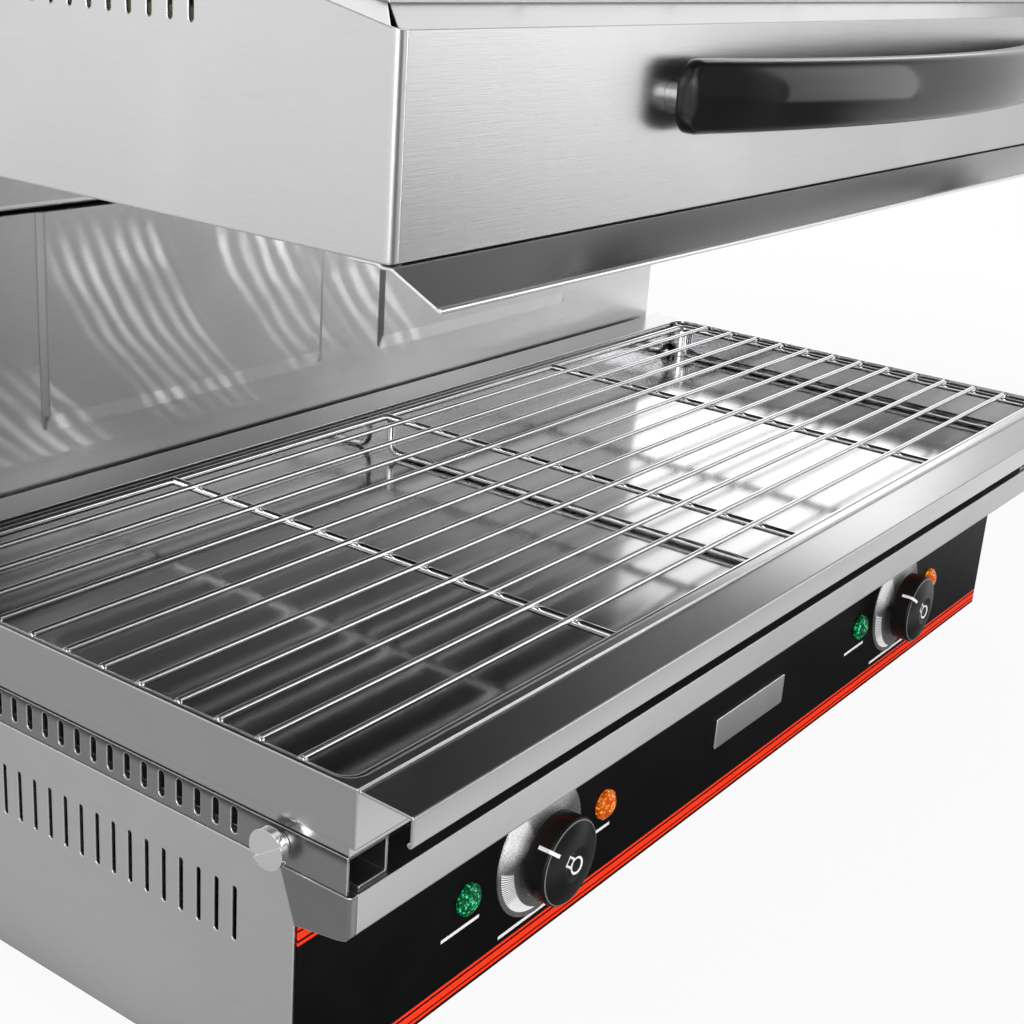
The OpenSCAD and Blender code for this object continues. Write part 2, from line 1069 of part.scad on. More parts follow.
module head_rear_panel() {
  w = half_w - flange - 0.3;
  corner_x = side_in - 0.1;
  corner_y = head_back - sheet - 0.1;
  under = border_w + border_lap;
  color(steel)
    difference() {
      union() {
        box([-w, head_back - sheet, head_bottom + 0.1], [w, head_back, roof_z]);
        along_z(roof_z - sheet, roof_z)
          polygon([
            [-w, head_back],
            [w, head_back],
            [w, corner_y],
            [corner_x, corner_y],
            [half_w - under, head_back - under + 0.2],
            [-half_w + under, head_back - under + 0.2],
            [-corner_x, corner_y],
            [-w, corner_y]
          ]);
      }
      for (s = [-1, 1], x = [tube_x[0], tube_x[5]])
        rod_along_y(head_back - 3, head_back + 3, s * x, tube_z, tube_r + 0.5);
    }
}

module head_top_cover() {
  x = half_w - border_w;
  color(steel)
    intersection() {
      along_x(-x, x)
        roof_band(-sheet - 0.05);
      along_z(eave_z, roof_z + 5)
        polygon([
          [-x, head_y + border_w],
          [x, head_y + border_w],
          [x, head_back - border_w],
          [-x, head_back - border_w]
        ]);
    }
}

module cover_screws() {
  lift = sheet + 0.05;
  slope = atan(slope_rise / slope_d);
  color(polished) {
    for (i = [-2.5:2.5])
      translate([i * cover_screw_pitch, head_y + border_w + 5,
        eave_z + (border_w + 5) * tan(slope) + lift])
        rotate([slope, 0, 0])
          screw_head();
    for (i = [-2.5:2.5])
      translate([i * cover_screw_pitch, head_back - border_w - 5, roof_z + lift])
        screw_head();
  }
}

module screw_head() {
  rotate_extrude()
    difference() {
      intersection() {
        translate([0, -4.4])
          circle(6.2);
        square([4.4, 3]);
      }
      translate([0, 1.1])
        square([1.5, 2]);
    }
}

module visor() {
  w = half_w - 0.8;
  top = head_bottom - 0.1;
  lip_top = top - visor_gap;
  y0 = pan_y + visor_back;
  y2 = pan_y - shelf_reach;
  low = head_bottom - visor_drop;
  color(steel)
    along_x(-w, w)
      union() {
        polygon([
          [y0, top],
          [head_y + 5, top],
          [head_y + 3.5, lip_top],
          [head_y - 0.4, lip_top],
          [y2 - 0.3, low + 1.2],
          [y2 + 0.7, low + 0.2],
          [head_y + 0.2, lip_top - sheet],
          [head_y + 5, lip_top - sheet],
          [head_y + 7, top - sheet],
          [y0, top - sheet]
        ]);
        translate([y2 + 0.4, low + visor_hem_r])
          circle(visor_hem_r);
      }
}

module reflector() {
  x = reflector_w / 2;
  y0 = head_y + 22;
  y1 = head_back - 16;
  z0 = head_bottom + 8;
  z1 = reflector_z;
  color(polished)
    difference() {
      along_x(-x, x)
        polygon([[y0, z0], [y0 + 24, z1], [y1 - 6, z1], [y1, z0]]);
      along_x(-x + sheet, x - sheet)
        polygon([
          [y0 + sheet, z0 - 1],
          [y0 + 24 + sheet, z1 - sheet],
          [y1 - 6 - sheet, z1 - sheet],
          [y1 - sheet, z0 - 1]
        ]);
      for (s = [-1, 1], t = [tube_x[0], tube_x[5]])
        rod_along_y(y1 - 12, y1 + 3, s * t, tube_z, tube_r + 0.6);
    }
}

module insulation() {
  x = reflector_w / 2;
  color(wool)
    difference() {
      box([4 - x, head_y + 48, reflector_z + 0.1], [x - 4, head_back - 24, 478]);
      for (s = [-1, 1])
        box([s * arm_x - 30, head_back - 60, arm_z[0] - 2],
          [s * arm_x + 30, head_back - 20, 480]);
    }
}

module handle() {
  foot_y = head_y - boss_t;
  reach = handle_out - boss_t - handle_end;
  out_r = (pow(handle_w / 2, 2) + pow(reach, 2)) / (2 * reach);
  middle_y = head_y - handle_out + out_r;
  color(black)
    difference() {
      translate([0, middle_y, handle_z])
        rotate([0, 0, -120])
          rotate_extrude(angle = 60, $fn = 360)
            handle_section(out_r);
      box([-half_w, foot_y, handle_z - handle_h], [half_w, foot_y + half_w, handle_z + handle_h]);
      both_sides() {
        handle_nose_cut(out_r, middle_y);
        for (t = [0, 1])
          translate([0, 0, handle_z])
            mirror([0, 0, t])
              handle_end_cut();
      }
    }
}

module handle_section(out_r) {
  intersection() {
    rounded([out_r - handle_t, -handle_h / 2], [out_r, handle_h / 2], handle_round);
    translate([out_r - handle_crown, 0])
      circle(handle_crown);
  }
}

// Rounds the end of the bar in plan.
module handle_nose_cut(out_r, middle_y) {
  x = handle_w / 2 - handle_end;
  y = middle_y - sqrt(pow(out_r - handle_end + 0.1, 2) - pow(x, 2));
  along_z(handle_z - handle_h, handle_z + handle_h) {
    difference() {
      translate([x + 1, y - 2 * handle_end])
        square(2 * handle_end);
      translate([x, y])
        circle(handle_end);
    }
    translate([handle_w / 2, y - handle_end])
      square(3 * handle_t);
  }
}

module handle_end_cut() {
  x = handle_w / 2 - handle_corner + 0.1;
  z = handle_h / 2 - handle_corner + 0.1;
  along_y(head_y - handle_out - 1, head_y)
    difference() {
      translate([x, z])
        square(handle_corner + 5);
      translate([x, z])
        circle(handle_corner);
    }
}

module handle_bosses() {
  color(polished)
    for (s = [-1, 1])
      rod_along_y(head_y - boss_t + 0.05, head_y - 0.05, s * boss_x, handle_z, boss_r);
}

// Meandering tube heater on the right, both ends through the rear wall.
module element() {
  first = tube_x[0];
  last = tube_x[5];
  for (i = [0:5])
    rod_along_y(tube_front, tube_back, tube_x[i], tube_z, tube_r);
  for (x = [first, last])
    rod_along_y(tube_back - eps, head_back + 5, x, tube_z, tube_r);
  for (i = [0, 2, 4])
    translate([tube_x[i] + tube_bend, tube_front, tube_z])
      rotate([0, 0, 180])
        rotate_extrude(angle = 180)
          translate([tube_bend, 0])
            circle(tube_r);
  for (i = [1, 3])
    translate([tube_x[i] + tube_bend, tube_back, tube_z])
      rotate_extrude(angle = 180)
        translate([tube_bend, 0])
          circle(tube_r);
}

module left_element() {
  color(dark_steel)
    mirror([1, 0, 0])
      element();
}

module right_element() {
  color(dark_steel)
    element();
}

module element_hangers() {
  color(polished)
    both_sides()
      for (y = hanger_y)
        difference() {
          box([30, y - 0.8, tube_z - 9], [370, y + 0.8, reflector_z - sheet - 0.1]);
          for (x = tube_x)
            rod_along_y(y - 2, y + 2, x, tube_z, tube_r + 0.15);
        }
}

module lift_arms() {
  w = arm_w / 2;
  color(zinc)
    for (s = [-1, 1]) {
      box([s * arm_x - w, head_back + 0.05, arm_z[0]], [s * arm_x + w, rod_y + 16, arm_z[1]]);
      box([s * arm_x - 26, head_back - sheet - 6, arm_z[0]],
        [s * arm_x + 26, head_back - sheet - 0.05, arm_z[1]]);
    }
}

module carriage() {
  y1 = rod_y + 16.05;
  color(zinc) {
    box([-rod_x - 18, y1, bush_z[0]], [rod_x + 18, y1 + 3, bush_z[1]]);
    both_sides()
      difference() {
        box([rod_x - 18, rod_y - 17, bush_z[0]], [rod_x + 18, y1 + 1, bush_z[1]]);
        rod_along_z(bush_z[0] - 1, bush_z[1] + 1, rod_x, rod_y, bush_r);
      }
  }
}

module bushes() {
  color(silver)
    both_sides()
      difference() {
        rod_along_z(bush_z[0], bush_z[1], rod_x, rod_y, bush_r - 0.02);
        rod_along_z(bush_z[0] - 1, bush_z[1] + 1, rod_x, rod_y, guide_r + fit_gap);
      }
}

module terminal_covers() {
  x0 = tube_x[0] - 24;
  x1 = tube_x[5] + 26;
  color(steel)
    both_sides()
      difference() {
        box([x0, head_back + 0.05, cover_z[0]], [x1, head_back + cover_d, cover_z[1]]);
        box([x0 + sheet, head_back - 1, cover_z[0] + sheet],
          [x1 - sheet, head_back + cover_d - sheet, cover_z[1] - sheet]);
      }
}

bottom_plate();
left_side_panel();
right_side_panel();
front_rail();
control_panel();
fascia();
badge_plate();
dial_plates();
thermostats();
green_lamps();
amber_lamps();
base_top_cover();
base_rear_panel();
feet();
terminal_block();
cable_gland();
left_channel();
right_channel();
screw_tabs();
left_cheek();
right_cheek();
lower_column_panel();
upper_column_panel();
column_back_cover();
column_cap();
guide_rods();
rod_blocks();
left_spring();
right_spring();
head_front_panel();
head_left_side();
head_right_side();
head_top_cover();
cover_screws();
head_rear_panel();
reflector();
insulation();
visor();
handle();
handle_bosses();
left_element();
right_element();
element_hangers();
lift_arms();
carriage();
bushes();
terminal_covers();
left_knob();
left_spindle();
left_pointer();
right_knob();
right_spindle();
right_pointer();
left_thumb_screw();
right_thumb_screw();
pan();
rack_frame();
rack_wires();
rack_legs();
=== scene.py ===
import bpy
import bmesh
import math
import random
from mathutils import Matrix, Vector


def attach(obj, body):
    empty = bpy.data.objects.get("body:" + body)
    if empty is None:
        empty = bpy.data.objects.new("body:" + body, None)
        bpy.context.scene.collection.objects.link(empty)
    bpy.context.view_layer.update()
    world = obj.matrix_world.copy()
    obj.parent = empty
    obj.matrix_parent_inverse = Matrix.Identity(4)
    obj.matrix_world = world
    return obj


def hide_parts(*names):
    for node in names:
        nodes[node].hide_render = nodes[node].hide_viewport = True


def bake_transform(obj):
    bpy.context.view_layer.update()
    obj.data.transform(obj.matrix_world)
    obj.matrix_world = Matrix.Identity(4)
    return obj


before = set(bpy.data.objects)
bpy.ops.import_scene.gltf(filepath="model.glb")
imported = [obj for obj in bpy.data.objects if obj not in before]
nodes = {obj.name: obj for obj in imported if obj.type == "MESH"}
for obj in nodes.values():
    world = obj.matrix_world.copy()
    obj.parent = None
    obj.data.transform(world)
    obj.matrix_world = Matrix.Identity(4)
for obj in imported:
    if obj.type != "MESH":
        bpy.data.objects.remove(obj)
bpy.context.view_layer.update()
scene = bpy.context.scene
print("frame loaded:", len(nodes), "nodes")


# node helpers; inside is a tree, or any node or socket in it

def feed(node, inputs):
    # each input gets a link from a socket, or a constant
    for key, value in inputs.items():
        if isinstance(value, bpy.types.NodeSocket):
            node.id_data.links.new(value, node.inputs[key])
        else:
            node.inputs[key].default_value = value


def place(inside, kind, inputs=None, **settings):
    node = inside.id_data.nodes.new(kind)
    for key, value in settings.items():
        setattr(node, key, value)
    feed(node, inputs or {})
    return node


def newGroup(name, inputs, outputs):
    tree = bpy.data.node_groups.new(name, "ShaderNodeTree")
    for label, kind, value in inputs:
        socket = tree.interface.new_socket(label, in_out="INPUT", socket_type=kind)
        if value is not None:
            socket.default_value = value
    for label, kind in outputs:
        tree.interface.new_socket(label, in_out="OUTPUT", socket_type=kind)
    return tree, place(tree, "NodeGroupInput").outputs, place(tree, "NodeGroupOutput")


def useGroup(inside, group, **inputs):
    return place(inside, "ShaderNodeGroup", inputs, node_tree=group).outputs


def maths(operation, *values, clamp=False):
    inside = next(value for value in values if isinstance(value, bpy.types.NodeSocket))
    return place(inside, "ShaderNodeMath", dict(enumerate(values)), operation=operation,
                 use_clamp=clamp).outputs[0]


def ramp(source, low, high, outLow=0.0, outHigh=1.0, smooth=True):
    return place(source, "ShaderNodeMapRange", {
        "Value": source, "From Min": low, "From Max": high, "To Min": outLow, "To Max": outHigh},
        interpolation_type="SMOOTHSTEP" if smooth else "LINEAR").outputs["Result"]


def between(value, low, high, blur=0.0002):
    # one from low to high and nothing outside, with soft ends
    half = (high - low) / 2
    away = maths("ABSOLUTE", maths("SUBTRACT", value, (low + high) / 2))
    return ramp(away, half + blur, half - blur)


def radius(first, second):
    return maths("SQRT", maths("ADD", maths("MULTIPLY", first, first),
                               maths("MULTIPLY", second, second)))


def axis(vector):
    return place(vector, "ShaderNodeSeparateXYZ", {"Vector": vector}).outputs


def blendColor(factor, first, second):
    first, second = ((*item, 1.0) if isinstance(item, tuple) else item for item in (first, second))
    return place(factor, "ShaderNodeMix", {"Factor": factor, "A": first, "B": second},
                 data_type="RGBA").outputs["Result"]


def bumped(height, strength, distance, normal=None):
    inputs = {"Height": height, "Strength": strength, "Distance": distance}
    if normal is not None:
        inputs["Normal"] = normal
    return place(height, "ShaderNodeBump", inputs).outputs["Normal"]


def arrange(tree):
    # columns by the longest way to the output, for whoever opens the node editor
    column = {node.name: 0 for node in tree.nodes}
    moved = True
    while moved:
        moved = False
        for link in tree.links:
            least = column[link.to_node.name] + 1
            if column[link.from_node.name] < least:
                column[link.from_node.name] = least
                moved = True
    filled = {}
    for node in tree.nodes:
        across = column[node.name]
        filled[across] = filled.get(across, 0) + 1
        node.location = (-220 * across, -200 * filled[across])


# shared effects

def makeBrushGroup():
    # long thin scratches: the caller stretches the coordinates along the grain
    tree, entry, leave = newGroup("brushGrain", [
        ("Vector", "NodeSocketVector", None), ("Contrast", "NodeSocketFloat", 1.0)],
        [("Grain", "NodeSocketFloat")])
    fine = place(tree, "ShaderNodeTexNoise", {
        "Vector": entry["Vector"], "Scale": 1.0, "Detail": 3.0, "Roughness": 0.65})
    strong = maths("MULTIPLY", maths("SUBTRACT", fine.outputs["Fac"], 0.5), entry["Contrast"])
    feed(leave, {"Grain": maths("ADD", strong, 0.5, clamp=True)})
    return tree


def makeEdgeGroup():
    # rounds the shading at sheet edges and gives a mask of those edges
    tree, entry, leave = newGroup("softEdge", [
        ("Radius", "NodeSocketFloat", 0.001), ("Gain", "NodeSocketFloat", 3.0)],
        [("Normal", "NodeSocketVector"), ("Edge", "NodeSocketFloat")])
    bevel = place(tree, "ShaderNodeBevel", {"Radius": entry["Radius"]}, samples=6).outputs["Normal"]
    geometry = place(tree, "ShaderNodeNewGeometry").outputs["Normal"]
    alike = place(tree, "ShaderNodeVectorMath", {0: bevel, 1: geometry},
                  operation="DOT_PRODUCT").outputs["Value"]
    feed(leave, {"Normal": bevel, "Edge": maths(
        "MULTIPLY", maths("SUBTRACT", 1.0, alike), entry["Gain"], clamp=True)})
    return tree


def makeSmudgeGroup():
    # faint handling marks and a fine speck
    tree, entry, leave = newGroup("smudge", [
        ("Vector", "NodeSocketVector", None), ("Scale", "NodeSocketFloat", 9.0)],
        [("Smudge", "NodeSocketFloat"), ("Speck", "NodeSocketFloat")])
    cloud = place(tree, "ShaderNodeTexNoise", {
        "Vector": entry["Vector"], "Scale": entry["Scale"], "Detail": 4.0, "Distortion": 0.6})
    speck = place(tree, "ShaderNodeTexNoise", {
        "Vector": entry["Vector"], "Scale": 1400.0, "Detail": 1.0})
    feed(leave, {"Smudge": ramp(cloud.outputs["Fac"], 0.35, 0.7),
                 "Speck": ramp(speck.outputs["Fac"], 0.35, 0.65)})
    return tree


brushGrain = makeBrushGroup()
softEdge = makeEdgeGroup()
smudge = makeSmudgeGroup()


def startMaterial(name):
    material = bpy.data.materials.new(name)
    material.use_nodes = True
    shader = material.node_tree.nodes["Principled BSDF"]
    return material, shader, place(shader, "ShaderNodeTexCoord").outputs["Object"]


# steel finishes

# noise cells per metre, few along the grain and many across it
grainAlong = {"x": (45, 2600, 2600), "y": (2600, 45, 2600), "z": (2600, 2600, 45)}
# what all of them share: strength of the grain, strength and tone of the painted highlight
# along the bends, scale of the marks, swing of the tone, bump height in metres, and how much
# of it a polished zone loses
steel = {"contrast": 1.2, "edgeGain": 4.0, "edgeHighlight": 0.95, "marks": 7.0, "swing": 1.4,
         "bump": 0.0002, "smoothed": 0.8}


def steelMaterial(name, tone, grain, rough, spread=0.1, depth=0.16, edge=0.0011,
                  tint=(1.0, 1.0, 1.01), cloud=0.06, shade=None, innerRough=None, bent=None,
                  grazing=1.0):
    # stretched grain over a metal, with a painted highlight along its bends
    # shade(coords) gives a factor for the tone that paints shade and reflection by zone, and a mask
    # of the polished zone, bent(coords) a mask and the way the sheet faces there
    material, shader, coords = startMaterial(name)
    stretched = place(coords, "ShaderNodeMapping", {"Vector": coords, "Scale": grainAlong[grain]})
    brush = useGroup(coords, brushGrain, Vector=stretched.outputs["Vector"],
                     Contrast=steel["contrast"])["Grain"]
    marks = useGroup(coords, smudge, Vector=coords, Scale=steel["marks"])["Smudge"]
    edges = useGroup(coords, softEdge, Radius=edge, Gain=steel["edgeGain"])
    swing = cloud * steel["swing"]
    factor = maths("MULTIPLY", ramp(brush, 0.0, 1.0, 1.0 - swing, 1.0 + swing, smooth=False),
                   ramp(marks, 0.0, 1.0, 1.0 - cloud, 1.0))
    polished = None
    if shade:
        dim, polished = shade(coords)
        factor = maths("MULTIPLY", factor, dim)
    flat = place(coords, "ShaderNodeCombineColor", {
        channel: maths("MULTIPLY", factor, tone * share)
        for channel, share in zip(("Red", "Green", "Blue"), tint)}).outputs["Color"]
    coarse = ramp(brush, 0.0, 1.0, rough - spread / 2, rough + spread / 2, smooth=False)
    strength = depth
    if innerRough:
        coarse = maths("MULTIPLY_ADD", polished, innerRough - rough, coarse)
        strength = maths("MULTIPLY_ADD", polished, -depth * steel["smoothed"], depth)
    facing = edges["Normal"]
    if bent:
        mask, way = bent(coords)
        facing = place(coords, "ShaderNodeMix", {"Factor": mask, "A": facing, "B": way},
                       data_type="VECTOR").outputs["Result"]
    # the edge mask lays a painted highlight along the bends
    feed(shader, {
        "Base Color": blendColor(edges["Edge"], flat, (steel["edgeHighlight"],) * 3),
        "Metallic": 1.0, "Specular Tint": (grazing, grazing, grazing, 1.0), "Roughness": coarse,
        "Normal": bumped(brush, strength, steel["bump"], facing)})
    return material


# the pan's zones in metres, and what each one takes from the tone; painted reflection darkens
# the rear deck, and the basin more at its left than at its right
panZones = {"top": (0.1955, 0.196), "deck": (0.1225, 0.1232), "wide": (-0.3984, 0.3984),
            "deep": (-0.2015, 0.1228), "paintedReflection": (-0.12, 0.2, -0.34, -0.04), "deckPaintedReflection": -0.42,
            "skirtTone": -0.18}


def panShade(coords):
    # basin, rim, rear deck, shelf and skirts; painted reflection on the rear deck and basin,
    # and the skirts a little darker
    spot = axis(coords)
    top = ramp(spot["Z"], *panZones["top"])
    deck = maths("MULTIPLY", top, ramp(spot["Y"], *panZones["deck"]))
    basin = maths("MULTIPLY", maths("MULTIPLY", between(spot["X"], *panZones["wide"]),
                                    between(spot["Y"], *panZones["deep"])),
                  maths("SUBTRACT", 1.0, top))
    outside = maths("SUBTRACT", 1.0, maths("MAXIMUM", basin, top))
    tone = maths("MULTIPLY_ADD", basin, ramp(spot["X"], *panZones["paintedReflection"]),
                 maths("MULTIPLY_ADD", deck, panZones["deckPaintedReflection"], 1.0))
    return maths("MULTIPLY_ADD", outside, panZones["skirtTone"], tone), basin


# the column's front: painted highlight on the hem over the seam, painted reflection by zone, and
# the pressed fields' lowest step, with its tilt; places in metres
column = {"hem": (0.3535, 0.357, 0.0004), "hemHighlight": 0.5, "left": (-0.16, -0.28),
          "right": (-0.1, 0.06), "foot": (0.24, 0.2), "tone": 0.84, "leftTone": 0.24,
          "rightTone": 0.16, "leftFoot": 0.35, "rightFoot": 0.25, "fieldShift": 0.0035,
          "fieldAt": 0.1445, "fieldHalf": (0.1155, 0.11), "step": (0.2268, 0.2365, 0.0006),
          "stepWay": (0.0, -0.998, 0.06)}


def columnShade(coords):
    # painted highlight on the hem over the seam, and painted reflection: darker at the middle of
    # the sheet, lighter to the left and right and at the foot
    spot = axis(coords)
    left, right = ramp(spot["X"], *column["left"]), ramp(spot["X"], *column["right"])
    paintedReflection = maths("MULTIPLY_ADD", left, column["leftTone"],
                 maths("MULTIPLY_ADD", right, column["rightTone"], column["tone"]))
    glow = maths("MULTIPLY", ramp(spot["Z"], *column["foot"]),
                 maths("MULTIPLY_ADD", right, column["rightFoot"],
                       maths("MULTIPLY", left, column["leftFoot"])))
    hem = maths("MULTIPLY", between(spot["Z"], *column["hem"]), column["hemHighlight"])
    return maths("ADD", maths("ADD", paintedReflection, glow), hem), None


def columnBend(coords):
    # the lowest step of each pressed field is bent over softly and looks up a little
    spot = axis(coords)
    side = maths("ABSOLUTE", maths("ADD", spot["X"], column["fieldShift"]))
    across = maths("ABSOLUTE", maths("SUBTRACT", side, column["fieldAt"]))
    return maths("MULTIPLY", ramp(across, *column["fieldHalf"]),
                 between(spot["Z"], *column["step"])), column["stepWay"]


# painted shade on the nose below the thumb screw: lean of its edge, where it starts, and its tone
paintedNoseShade = {"lean": -0.35, "edge": (-0.2168, -0.2158), "tone": 0.42}


def baseShade(coords):
    # painted shade: the nose of the side is darker
    spot = axis(coords)
    line = maths("MULTIPLY_ADD", spot["Z"], paintedNoseShade["lean"], spot["Y"])
    return ramp(line, *paintedNoseShade["edge"], paintedNoseShade["tone"], 1.0), None


# painted shade at the channel's top: heights in metres, and its tone
channelPaintedShade = {"heights": (0.1585, 0.1638), "tone": 0.15}


def channelShade(coords):
    # painted shade: darker under the pan's hanging skirt
    return ramp(axis(coords)["Z"], *channelPaintedShade["heights"], 1.0, channelPaintedShade["tone"]), None


satinFront = steelMaterial("satinFront", 0.61, "x", rough=0.3, grazing=0.7)
satinSide = steelMaterial("satinSide", 0.57, "y", rough=0.33)
satinTop = steelMaterial("satinTop", 0.6, "x", rough=0.34, grazing=0.8)
satinBack = steelMaterial("satinBack", 0.65, "x", rough=0.3, cloud=0.07, shade=columnShade,
                          bent=columnBend)
baseSide = steelMaterial("baseSide", 0.68, "y", rough=0.33, shade=baseShade)
visorSteel = steelMaterial("visorSteel", 0.8, "x", rough=0.17)
bossSteel = steelMaterial("bossSteel", 0.3, "x", rough=0.14, edge=0.0004)
# the channel's steel is set darker as painted shade under the skirt
channelSteel = steelMaterial("channelSteel", 0.32, "y", rough=0.36, shade=channelShade)
plainSteel = steelMaterial("plainSteel", 0.45, "x", rough=0.4, cloud=0.1)
brightSteel = steelMaterial("brightSteel", 0.9, "x", rough=0.07, spread=0.03, depth=0.02,
                            edge=0.0004, cloud=0.02)
reflectorSteel = steelMaterial("reflectorSteel", 0.25, "x", rough=0.35, cloud=0.1)
panSteel = steelMaterial("panSteel", 0.64, "x", rough=0.24, spread=0.05, depth=0.05, cloud=0.04,
                         shade=panShade, innerRough=0.13)
wireSteel = steelMaterial("wireSteel", 0.95, "x", rough=0.2, spread=0.03, depth=0.02, edge=0.0003,
                          cloud=0.02)
beadSteel = steelMaterial("beadSteel", 0.9, "x", rough=0.22, depth=0.3, edge=0.0003)
zincPlate = steelMaterial("zincPlate", 0.6, "z", rough=0.38, tint=(1.0, 1.0, 1.04))
bronzeBush = steelMaterial("bronzeBush", 0.55, "z", rough=0.42, tint=(1.1, 0.8, 0.5))
heaterSheath = steelMaterial("heaterSheath", 0.12, "y", rough=0.5, tint=(1.0, 0.97, 0.92))
badgeSilver = steelMaterial("badgeSilver", 0.85, "x", rough=0.3)


# place of the two dials along the row of controls, in metres
row = {"shift": 0.0032, "reach": 0.222, "height": 0.0734}


def rowPlace(coords):
    # position from the nearest dial's centre
    spot = axis(coords)
    across = maths("SUBTRACT", spot["X"], row["shift"])
    middle = maths("MULTIPLY", maths("SIGN", across), row["reach"])
    return maths("SUBTRACT", across, middle), maths("SUBTRACT", spot["Z"], row["height"])


# plastic finishes

# bulb outline on the knob's face, turned by degrees and then in metres along and across its own
# axis, and a painted highlight on the line round the face
symbol = {"turn": 126.0, "bulbAt": 0.0025, "bulbRadius": 0.0043, "neckAt": -0.0058,
          "neckLong": 0.0036, "neckWide": 0.0024, "line": 0.0006, "blur": 0.0002,
          "front": (-0.1905, -0.1915), "rimHighlight": (0.0226, 0.0229, 0.0003), "rimHighlightTone": 0.35}


def knobPrintAndHighlight(coords):
    across, up = rowPlace(coords)
    turn = math.radians(symbol["turn"])
    along = maths("MULTIPLY_ADD", across, math.sin(turn), maths("MULTIPLY", up, math.cos(turn)))
    aside = maths("MULTIPLY_ADD", across, -math.cos(turn), maths("MULTIPLY", up, math.sin(turn)))
    bulb = maths("SUBTRACT", radius(maths("SUBTRACT", along, symbol["bulbAt"]), aside),
                 symbol["bulbRadius"])
    neckAlong = maths("ABSOLUTE", maths("SUBTRACT", along, symbol["neckAt"]))
    neck = maths("MAXIMUM", maths("SUBTRACT", neckAlong, symbol["neckLong"]),
                 maths("SUBTRACT", maths("ABSOLUTE", aside), symbol["neckWide"]))
    outline = ramp(maths("ABSOLUTE", maths("MINIMUM", bulb, neck)),
                   symbol["line"] + symbol["blur"], symbol["line"] - symbol["blur"])
    # a painted highlight on the line round the face, laid on like the print
    rimHighlight = maths("MULTIPLY", between(radius(across, up), *symbol["rimHighlight"]), symbol["rimHighlightTone"])
    return maths("MULTIPLY", maths("MAXIMUM", outline, rimHighlight),
                 ramp(axis(coords)["Y"], *symbol["front"]))


# what all the plastics share: scale of the marks, strength of the rounded edges, how much paler
# and duller a mark is, and the bump's height in metres
plastic = {"marks": 18.0, "edgeGain": 2.0, "paler": 1.35, "lift": 0.002, "duller": 0.08,
           "bump": 0.0001, "print": (0.9, 0.9, 0.9)}


def plasticMaterial(name, color, rough, grain, edge=0.0006, shine=0.5, printed=None):
    # printed(coords) gives a mask of the white print, and on the knob also of a painted highlight
    material, shader, coords = startMaterial(name)
    marks = useGroup(coords, smudge, Vector=coords, Scale=plastic["marks"])
    edges = useGroup(coords, softEdge, Radius=edge, Gain=plastic["edgeGain"])
    paler = tuple(min(1.0, c * plastic["paler"] + plastic["lift"]) for c in color)
    base = blendColor(marks["Smudge"], color, paler)
    if printed:
        base = blendColor(printed(coords), base, plastic["print"])
    feed(shader, {
        "Base Color": base, "Specular IOR Level": shine,
        "Roughness": ramp(marks["Smudge"], 0.0, 1.0, rough, rough + plastic["duller"]),
        "Normal": bumped(marks["Speck"], grain, plastic["bump"], edges["Normal"])})
    return material


glossBlack = plasticMaterial("glossBlack", (0.003, 0.003, 0.0034), rough=0.04, grain=0.004,
                             edge=0.004, shine=0.38)
knobBlack = plasticMaterial("knobBlack", (0.006, 0.006, 0.006), rough=0.24, grain=0.05,
                            edge=0.0005, shine=0.15, printed=knobPrintAndHighlight)
footRubber = plasticMaterial("footRubber", (0.015, 0.015, 0.015), rough=0.7, grain=0.3)
glandNylon = plasticMaterial("glandNylon", (0.02, 0.02, 0.02), rough=0.5, grain=0.2)
whitePrint = plasticMaterial("whitePrint", (0.86, 0.86, 0.86), rough=0.4, grain=0.02)
ceramicWhite = plasticMaterial("ceramicWhite", (0.78, 0.76, 0.7), rough=0.25, grain=0.1)
mineralWool = plasticMaterial("mineralWool", (0.6, 0.55, 0.35), rough=0.9, grain=0.6)


# control panel finishes

# printed film: heights of the red bands above the bench, and plain white bars from the dial's
# centre as left, right, low, high; all in metres
film = {"bands": ((0.0221, 0.0238), (0.0248, 0.0287), (0.03, 0.0316),
                  (0.109, 0.1106), (0.1119, 0.1158), (0.1168, 0.1185)),
        "bars": ((-0.0795, -0.0495, -0.0161, -0.0142), (0.037, 0.068, -0.0161, -0.0142),
                 (-0.0315, 0.0315, -0.0389, -0.0369)),
        "red": (1.0, 0.045, 0.012), "white": (0.85, 0.85, 0.85), "black": (0.0035, 0.0035, 0.004),
        "mark": (0.0055, 0.0055, 0.006), "marks": 14.0, "rough": (0.3, 0.38), "blur": 0.00012}


def filmMaterial():
    material, shader, coords = startMaterial("fasciaFilm")
    height = axis(coords)["Z"]
    bands = None
    for low, high in film["bands"]:
        band = between(height, low, high, film["blur"])
        bands = band if bands is None else maths("MAXIMUM", bands, band)
    across, up = rowPlace(coords)
    bars = None
    for left, right, low, high in film["bars"]:
        bar = maths("MULTIPLY", between(across, left, right), between(up, low, high))
        bars = bar if bars is None else maths("MAXIMUM", bars, bar)
    marks = useGroup(coords, smudge, Vector=coords, Scale=film["marks"])
    dark = blendColor(marks["Smudge"], film["black"], film["mark"])
    feed(shader, {
        "Base Color": blendColor(bars, blendColor(bands, dark, film["red"]), film["white"]),
        "Roughness": ramp(marks["Smudge"], 0.0, 1.0, *film["rough"]), "Specular IOR Level": 0.03,
        "Normal": bumped(marks["Speck"], 0.05, 0.0001)})
    return material


# lens: colour at the rim and at the painted glints, and how much it glows
lenses = {"green": {"deep": (0.0, 0.05, 0.018), "paintedGlint": (0.05, 0.95, 0.35), "glow": 0.25},
          "amber": {"deep": (0.42, 0.05, 0.002), "paintedGlint": (1.0, 0.55, 0.06), "glow": 0.4}}
# size of the facets in metres, how evenly they stand, which of them carry a painted glint, and
# where in each
facets = {"size": 0.0012, "uneven": 0.25, "shine": (0.5, 0.95), "core": (0.2, 0.65, 1.0, 0.35)}


